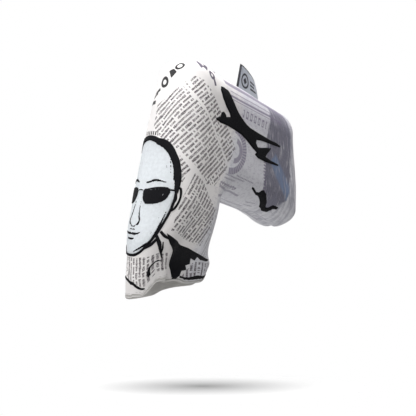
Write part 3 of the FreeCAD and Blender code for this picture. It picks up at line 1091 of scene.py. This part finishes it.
def lens(grow):
    """One dark lens with rounded corners, wider above than below."""
    u, v = HEAD_U + 12.2, EYES + 0.4
    base = [(-8.6, 4.2), (0, 5.6), (8.4, 4.8), (10, 1.4), (7.4, -4.2), (1, -6.4), (-6, -5.2),
            (-9.2, -0.6)]
    scale = 1 + grow / 8
    return curve([(u + x * scale, v + y * scale) for x, y in base], 5)


def glasses():
    bridge, arm = lines_from([
        ([(-4.4, EYES + 2.6), (0, EYES + 3.8), (4.4, EYES + 2.6)], [1.5, 1.2, 1.5]),
        ([(21, EYES + 3.8), (25.4, EYES + 3.6)], [2.2, 1.4]),
    ])
    return [lens(0), mirrored(lens(0))[::-1], bridge, arm, mirrored(arm)[::-1]]


def glints():
    u, v = HEAD_U + 12.2, EYES + 0.4
    edge = [stroke([(u - 6.6, v + 2.6), (u - 2, v + 3.8), (u + 3.4, v + 3.6)], [0.3, 0.7, 0.3]),
            stroke([(u + 5.6, v + 1.8), (u + 5.8, v - 0.6), (u + 4.4, v - 2.8)], [0.4, 1.1, 0.4])]
    return edge + [mirrored(e)[::-1] for e in edge]


def collar():
    """Shirt collar and throat: lines between the jaw and the jacket."""
    return lines_from([
        ([(21, MOUTH + 1), (25.4, 33), (27.2, 27), (29.4, 18)], [1.2, 2.8, 1.8, 0.8]),
        ([(24, 41), (27.6, 38), (33, 35.5)], [1.6, 1.9, 1.0]),
        ([(27.8, 34), (28.6, 28), (28.2, 22)], [0.7, 1.1, 0.6]),
        ([(14, 29), (20, 32), (24, 37)], [1.0, 2.4, 1.8]),
    ])


def joined(name, parts, material):
    """Several raised outlines as one piece."""
    made = []
    for k, loops in enumerate(parts):
        made.append(patch(name + "_part" + str(k), loops, material, **PATCH_STYLE[name]))
    bpy.ops.object.select_all(action="DESELECT")
    for obj in made:
        obj.select_set(True)
    bpy.context.view_layer.objects.active = made[0]
    if len(made) > 1:
        bpy.ops.object.join()
    made[0].name = name
    made[0].data.name = name
    return made[0]


PATCH_STYLE = {
    "face": {"lift": 0.3, "step": 1.2},
    "hair_and_lines": {"lift": 0.62, "step": 0.8},
    "glasses": {"lift": 0.75, "step": 0.9},
    "glasses_glints": {"lift": 0.95, "step": 0.7},
    "jacket": {"lift": 0.5, "step": 1.0},
    "aircraft": {"lift": 0.55, "step": 1.0},
    "jumper": {"lift": 0.55, "step": 0.9},
    "rim_line": {"lift": 0.3, "step": 0.9},
}


def embroidery():
    e = EYES
    crown = lines_from([([(-24, e + 12), (-19.6, e + 27), (-9, e + 36.6), (3, e + 38.2),
                          (13, e + 33.4), (20.6, e + 24), (24.6, e + 12), (25.6, e + 2)],
                         [2.2, 2.8, 3.4, 3.6, 4.2, 5.0, 5.0, 2.2])])
    lines = face_lines()
    parts = [[head_outline(1.5), head_outline(-0.3)], crown]
    parts += [[l] for l in lines] + [[mirrored(l)[::-1]] for l in lines]
    parts += [[c] for c in collar()]
    rim_line = stroke([(-34, 12.6), (-27, 11.6), (-20, 10.2), (-14, 8.2), (-8, 5.6), (-2, 3.6)],
                      [0.8, 1.5, 1.7, 1.9, 1.8, 0.8])
    band_line = stroke([(33, 3.2), (40, 3.6), (47, 4.4), (54, 3.6), (60, 3.0)],
                       [1.6, 2.4, 3.6, 3.0, 2.2])
    tick = stroke([(1.4, 8.4), (0.6, 12), (1.2, 15), (4.8, 16), (9, 14.6)],
                  [1.6, 2.2, 2.0, 1.4, 0.7])
    pieces = [
        ("face", [[head_outline(0)]], PALE, "embroidered_face", "light_thread"),
        ("hair_and_lines", parts, DARK, "embroidered_hair", "dark_thread"),
        ("glasses", [[g] for g in glasses()], DARK, "embroidered_glasses", "dark_thread"),
        ("glasses_glints", [[g] for g in glints()], PALE, None, "light_thread"),
        ("jacket", [[JACKET]], DARK, "embroidered_jacket", "dark_thread"),
        ("rim_line", [[rim_line], [band_line], [tick]], DARK, None, "dark_thread"),
        ("aircraft", [[AIRCRAFT]], DARK, "embroidered_aircraft", "dark_thread"),
        ("jumper", [[JUMPER]], DARK, "embroidered_figure", "dark_thread"),
    ]
    for name, loops, material, cad_node, slot in pieces:
        on_head = name in ("aircraft", "jumper")
        enter(joined(name, loops, material), [cad_node] if cad_node else (),
              None if on_head else FRONT)


# ---- stitches, tape, plackets and magnets -------------------------------------------------------
def capsules(name, pairs, thick, material):
    """Short rounded stitches, each between two points."""
    points, faces = [], []
    for a, b, out in pairs:
        a, b, out = (np.array(p, float) for p in (a, b, out))
        along = (b - a) / np.linalg.norm(b - a)
        across = np.cross(along, out)
        first = len(points)
        for share, size in ((0, 0.3), (0.14, 0.85), (0.5, 1.0), (0.86, 0.85), (1, 0.3)):
            for k in range(6):
                angle = math.pi * k / 3
                points.append(a + (b - a) * share + (across * math.cos(angle)
                              + out * math.sin(angle)) * thick / 2 * size)
        for ring_index in range(4):
            for k in range(6):
                p = first + ring_index * 6 + k
                q = first + ring_index * 6 + (k + 1) % 6
                faces.append((p, q, q + 6, p + 6))
        faces.append(tuple(first + k for k in range(6))[::-1])
        faces.append(tuple(first + 24 + k for k in range(6)))
    return make(name, np.array(points), faces, material)


def stitch_row(name, uvs, length, side, material, thick=0.5):
    uvs = np.array(uvs, float)
    steps = np.gradient(uvs, axis=0)
    steps /= np.linalg.norm(steps, axis=1)[:, None]
    a, normal = SURFACE(uvs - steps * length / 2, side)
    b, _ = SURFACE(uvs + steps * length / 2, side)
    lift = normal * 0.1
    return capsules(name, list(zip(a + lift, b + lift, normal)), thick, material)


def sewing():
    for side in (FRONT, BACK):
        name = side_name(side)
        row = [(u, 2.6) for u in np.arange(-9, 57, 3.4)]
        stitches = stitch_row(name + "_rim_stitches", row, 2.3, side, STITCH, 0.42)
        enter(stitches, [name + "_hem_stitching"], side)
        faces = []
        seam_start = PATTERN.marks[COUNTS[0] + COUNTS[1]]
        seam_end = PATTERN.marks[sum(COUNTS[:8])]
        for face in PATTERN.faces:
            at = PATTERN.station[list(face)]
            if (at < 0).any() or PATTERN.arc[list(face)].max() > 4.8:
                continue
            if seam_start < PATTERN.marks[at].mean() < seam_end:
                faces.append(face)
        tape = layer("seam_tape_" + name, side, faces, WALL + 0.02, WALL + 0.75, TAPE)
        enter(tape, ["seam_tape"])
    top = [i for i in range(PATTERN.n) if i > sum(COUNTS[:8])
           and SLIT_TOP - 1.2 < PATTERN.edge[i][1] < SLIT_TOP + 2.2]
    at = SHAPE.both[top]
    normal = SHAPE.normal[top]
    pairs = []
    for k in range(6):
        p = at[0] + (at[-1] - at[0]) * k / 5 + normal[0] * 0.35
        pairs.append((p - (0.25, 3.4, 0), p + (-0.25, 3.4, 0), normal[0]))
    tack = capsules("slit_tack", pairs, 0.55, STITCH)
    enter(tack, ["slit_bar_tack"])


POCKET_OUTLINE = [(34, 31), (40, 28.4), (44.6, 30), (45, 40), (44.4, 50), (41, 51.6), (35, 46),
                  (33.4, 38)]
MAGNETS, MAGNET_RADIUS, MAGNET_IN, MAGNET_OUT = ((39.6, 34.6), (39.6, 44.2)), 3.8, 3.0, 4.4


def magnet_pair(name, side):
    """Two closed discs of twenty sides inside the wall."""
    points, faces = [], []
    for k, middle in enumerate(MAGNETS):
        circle = [(middle[0] + MAGNET_RADIUS * math.cos(i * math.pi / 10),
                   middle[1] + MAGNET_RADIUS * math.sin(i * math.pi / 10)) for i in range(20)]
        points += [SURFACE(circle, side, depth)[0] for depth in (MAGNET_IN, MAGNET_OUT)]
        first = 40 * k
        faces.append([first + i for i in range(20)])
        faces.append([first + 20 + i for i in range(20)][::-1])
        faces += [(first + (i + 1) % 20, first + i, first + 20 + i, first + 20 + (i + 1) % 20)
                  for i in range(20)]
    if side == BACK:
        faces = [f[::-1] for f in faces]
    return make(name, np.concatenate(points), faces, METAL)


def plackets():
    """Pockets on the lining for the closure magnets, and the magnets in them."""
    for side in (FRONT, BACK):
        name = side_name(side)
        loop = resample(curve(POCKET_OUTLINE, 4), 1.2)
        every = np.concatenate([loop, grid_inside(loop, 1.2, 0.6)])
        faces = triangulate(every, list(range(len(loop))))
        if side == BACK:
            faces = [f[::-1] for f in faces]
        points = np.concatenate([SURFACE(every, side, WALL - 0.1)[0],
                                 SURFACE(every, side, WALL + 0.55)[0]])
        pocket = make(name + "_magnet_pocket", points, closed_between(faces, len(every)), FLEECE,
                      np.concatenate([every] * 2))
        enter(pocket, [name + "_placket"], side)
        enter(magnet_pair(name + "_magnet_pair", side), [name + "_magnets"], side)


# ---- the woven label ----------------------------------------------------------------------------
LABEL_LEFT, LABEL_WIDE, LABEL_FOOT, LABEL_TALL = 70.0, 27.0, HEIGHT + 0.2, 19.8


def label_point(across, up, y):
    """A place on the label, which bows a little and leans back as it rises."""
    share = up / LABEL_TALL
    bow = 0.8 * math.sin(math.pi * across) * share + 6.5 * share ** 1.4 * across ** 1.8
    drop = 1.6 * share * across ** 2
    x = LABEL_LEFT + LABEL_WIDE * across - 0.8 * share * across
    return (x, y + bow, LABEL_FOOT + up - drop)


def label_material(name, light, dark):
    """A woven label with a plain border, a disc and bars, and no lettering."""
    material, shader = start_material(name, 0.55)
    u, v = pattern_uv()
    ground = mix(calc("MULTIPLY_ADD", calc("SINE", u * 9) * calc("SINE", v * 9), 0.2, 0.5), light,
                 tuple(c * 1.15 for c in light))
    shapes = bars(u, v, [(8.4, 10.6, 3.6, 3.6, 45), (20, 13.4, 7.5, 1.5, 0),
                         (19.4, 10.6, 6.3, 1.5, 0), (20.4, 7.8, 8, 1.5, 0),
                         (0.4, 10, 1.5, 30, 0), (13, 19.3, 30, 0.5, 0)])
    base = mix(ink(most(ring(u, v, (8.4, 10.6), 5.4, 3.9), *shapes), 6), ground, dark)
    paint(shader, base)
    bump(shader, calc("SINE", u * 9) * calc("SINE", v * 9), 0.12)
    return material


def label_ply(name, y_out, y_in, material, over):
    """One ply of the folded label; the one with the fold turns over at the top."""
    rows, cloth = [], []
    ups = list(np.linspace(0, LABEL_TALL - (0 if over else 0.8), 22))
    section = [(up, y_out) for up in ups]
    if over:
        section += [(LABEL_TALL + 0.35, (y_out - 0.55) / 2), (LABEL_TALL, -0.62)]
        section += [(LABEL_TALL - 0.8, -0.62), (LABEL_TALL - 0.75, -0.1)]
    section += [(up, y_in) for up in ups[::-1]]
    for up, y in section:
        spread = 0.35 + 0.65 * min(1, up / 4)
        rows.append([label_point(a, up, y * spread) for a in np.linspace(0, 1, 21)])
        cloth.append([(LABEL_WIDE * a, up) for a in np.linspace(0, 1, 21)])
    rows = np.array(rows)
    return band(name, rows, material, True, np.array(cloth).reshape(-1, 2))


def label():
    light = label_material("label cloth", (0.43, 0.45, 0.50), (0.035, 0.035, 0.045))
    dark = plain("label back", (0.030, 0.030, 0.034), 0.7)
    front = label_ply("label_front", -0.62, -0.12, light, False)
    back = label_ply("label_back", 0.62, 0.12, dark, True)
    pairs = []
    for k in range(7):
        a = 0.07 + k * 0.13
        pairs.append((label_point(a, 2.6, -0.66), label_point(a + 0.075, 2.6, -0.66), (0, -1, 0)))
    sewn = capsules("label_stitches", pairs, 0.42, STITCH)
    for obj, cad_node, slot in ((front, "label_front_ply", "label_light"),
                                (back, "label_back_ply", "label_dark"),
                                (sewn, "label_stitching", "thread")):
        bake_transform(obj)
        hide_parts(cad_node)
    return front, back


def flat_cut(side, faces):
    """The box and the area, in metres, of this part of a panel laid flat."""
    cloth = cloth_of(side)
    span = np.ptp(cloth[sorted({v for f in faces for v in f})], axis=0) / 1000
    area = 0.0
    for f in faces:
        x, y = cloth[list(f)].T
        area += abs(x @ np.roll(y, -1) - y @ np.roll(x, -1)) / 2e6
    return tuple(float(d) for d in span), float(area)


def soft_pieces(front, back):
    """Works out how large each part of a panel was cut, and looks up its cloth and padding pieces.
    """
    shown = bpy.data.objects
    for side, neck in CAD:
        label = side_name(side) + ("_neck" if neck else "_head")
        faces = [f for f in PATTERN.faces if in_neck(f) == neck]
        flat, area = flat_cut(side, faces)
        on_it = [o for o in shown if neck and o.name in ("hem_" + side_name(side),
                                                         "slit_facing_" + side_name(side))]
        shown["skin_" + label]
        "padding_" + label
        shown["lining_" + label]
        "padding_" + label
        shown["padding_" + label]
    for side in (FRONT, BACK):
        name = side_name(side)
        shown[name + "_magnet_pocket"]
        "lining_" + name + "_neck"


walls()
hems()
embroidery()
sewing()
plackets()
soft_pieces(*label())

# ---- camera, floor and lights -------------------------------------------------------------------
AZIMUTH, ELEVATION, ROLL = (math.radians(a) for a in (-51.6, -12.85, 10.13))
DISTANCE = 699.5                             # millimetres, from the target to the camera
TARGET = np.array([55.0, 0, 92.07])
SENSOR, LENS = 36.0, 90.7356
AIM_RIGHT, AIM_UP = 0.00073438, -0.03071054  # the view's middle, as slopes off the target


def camera():
    """Adds the camera; returns its right, up and forward directions."""
    level = math.cos(ELEVATION)
    back = Vector((math.sin(AZIMUTH) * level, -math.cos(AZIMUTH) * level, math.sin(ELEVATION)))
    right = (-back).cross(Vector((0, 0, 1))).normalized()
    up = right.cross(-back)
    tilted = right * math.cos(ROLL) + up * math.sin(ROLL)
    up = up * math.cos(ROLL) - right * math.sin(ROLL)
    forward = (-back + tilted * AIM_RIGHT + up * AIM_UP).normalized()
    right = forward.cross(up).normalized()
    up = right.cross(forward)
    at = Vector(place(TARGET + np.array(back) * DISTANCE))
    data = bpy.data.cameras.new("camera")
    data.sensor_width = SENSOR
    data.lens = LENS
    data.clip_start = 0.01
    obj = bpy.data.objects.new("camera", data)
    bpy.context.scene.collection.objects.link(obj)
    obj.matrix_world = Matrix((
        (right.x, up.x, -forward.x, at.x), (right.y, up.y, -forward.y, at.y),
        (right.z, up.z, -forward.z, at.z), (0, 0, 0, 1)))
    bpy.context.scene.camera = obj
    return right, up, forward


RIGHT, UP, FORWARD = camera()


def area_light(name, towards, distance, size, power, aim=(0, 0, 0.08)):
    data = bpy.data.lights.new(name, "AREA")
    data.size = size
    data.energy = power
    obj = bpy.data.objects.new(name, data)
    obj.location = Vector(aim) + Vector(towards).normalized() * distance
    obj.rotation_euler = (Vector(aim) - obj.location).to_track_quat("-Z", "Y").to_euler()
    bpy.context.scene.collection.objects.link(obj)


FLOOR_TILT, FLOOR_DROP, FLOOR_RADIUS = 0.085, 0.058, 0.1
SHADE_RADIUS = 0.078


def floor():
    """A small round white floor below the cover, nearly edge on to the camera.

    It glows to the backdrop's white, less so in the middle, where the soft shadow lies: that
    shadow is partly cast by the lamps and partly painted, as the dip in the glow.
    """
    normal = (UP + FORWARD * FLOOR_TILT).normalized()
    low = min(normal.dot(Vector(p)) for p in place(SHAPE.both[::7]))
    middle = Vector((-0.01, 0, 0.09))
    centre = middle + normal * (low - FLOOR_DROP - normal.dot(middle))
    side = normal.orthogonal().normalized()
    other = normal.cross(side)
    points = [centre + (side * math.cos(a) + other * math.sin(a)) * FLOOR_RADIUS
              for a in np.linspace(0, 2 * math.pi, 96, endpoint=False)]
    mesh = bpy.data.meshes.new("floor")
    mesh.from_pydata([tuple(p) for p in points], [], [list(range(96))])
    shade = centre - RIGHT * 0.007
    white_top, shader = start_material("floor", 1.0, 0)
    shader.inputs["Base Color"].default_value = (0.26, 0.26, 0.26, 1)
    shader.inputs["Emission Color"].default_value = (1, 1, 1, 1)
    dx, dy, dz = (at - shade[i] for i, at in enumerate(coordinates("Object")))
    away = calc("SQRT", dx * dx + dy * dy + dz * dz)
    # painted shadow: the glow is dimmed towards the middle, under the cover, to darken the shadow
    # there
    painted_shadow = calc("POWER", calc("MULTIPLY_ADD", away, -1 / SHADE_RADIUS, 1, clamp=True), 1.3)
    Field.tree.links.new((0.72 - painted_shadow * 0.62).socket, shader.inputs["Emission Strength"])
    mesh.materials.append(white_top)
    obj = bpy.data.objects.new("floor", mesh)
    bpy.context.scene.collection.objects.link(obj)


def studio():
    """A bright white backdrop on the far side of the cover and a softer grey room elsewhere."""
    material = bpy.data.worlds.new("studio")
    material.use_nodes = True
    Field.tree = material.node_tree
    x, y, z = coordinates("Generated")
    ahead = x * FORWARD.x + y * FORWARD.y + z * FORWARD.z
    left = x * -RIGHT.x + y * -RIGHT.y + z * -RIGHT.z
    backdrop = calc("MULTIPLY_ADD", ahead, 5.0, -3.4, clamp=True)
    strength = backdrop * 0.5 + (0.42 + left * 0.20)
    strength = most(strength, ink(ahead - 0.86, 12))
    ground = material.node_tree.nodes["Background"]
    ground.inputs[0].default_value = (1, 1, 1, 1)
    Field.tree.links.new(strength.socket, ground.inputs[1])
    bpy.context.scene.world = material


floor()
studio()
area_light("key", -RIGHT * 1.1 + UP * 0.55 - FORWARD * 0.75, 1.1, 0.7, 5.6)
area_light("fill", RIGHT * 0.5 + UP * 0.1 - FORWARD * 1.0, 1.3, 1.0, 2.6)
area_light("top", UP * 1.0 - FORWARD * 0.1, 0.35, 0.35, 2.2)
bpy.context.scene.view_settings.view_transform = "Standard"
